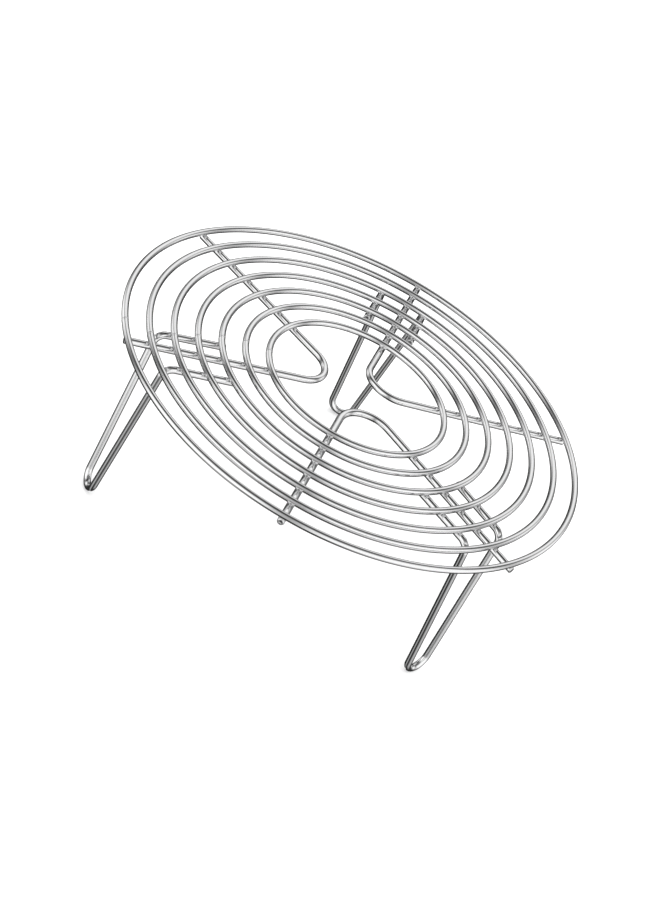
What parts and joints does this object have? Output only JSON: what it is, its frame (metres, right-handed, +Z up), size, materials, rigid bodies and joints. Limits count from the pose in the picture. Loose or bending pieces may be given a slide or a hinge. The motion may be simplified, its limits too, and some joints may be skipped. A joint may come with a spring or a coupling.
{
  "type": "cooling rack",
  "caption": "Round wire cooling rack with concentric rings on bent cross wires, raised on welded hairpin legs.",
  "frame": {"origin": "on the table under the centre of the rings, between the feet", "axes": "+Z up, square to the rings; -Y towards the front, midway between the two front legs; +X to the right"},
  "size_m": [0.23, 0.23, 0.0865],
  "materials": {
    "chrome_wire": "polished"
  },
  "bodies": {
    "root": {"outer_ring": "chrome_wire", "ring_2": "chrome_wire", "ring_3": "chrome_wire", "ring_4": "chrome_wire", "ring_5": "chrome_wire", "ring_6": "chrome_wire", "inner_ring": "chrome_wire", "cross_wire_left": "chrome_wire", "cross_wire_back": "chrome_wire", "cross_wire_front": "chrome_wire", "leg_left": "chrome_wire", "leg_right": "chrome_wire", "leg_back": "chrome_wire"}
  },
  "joints": []
}
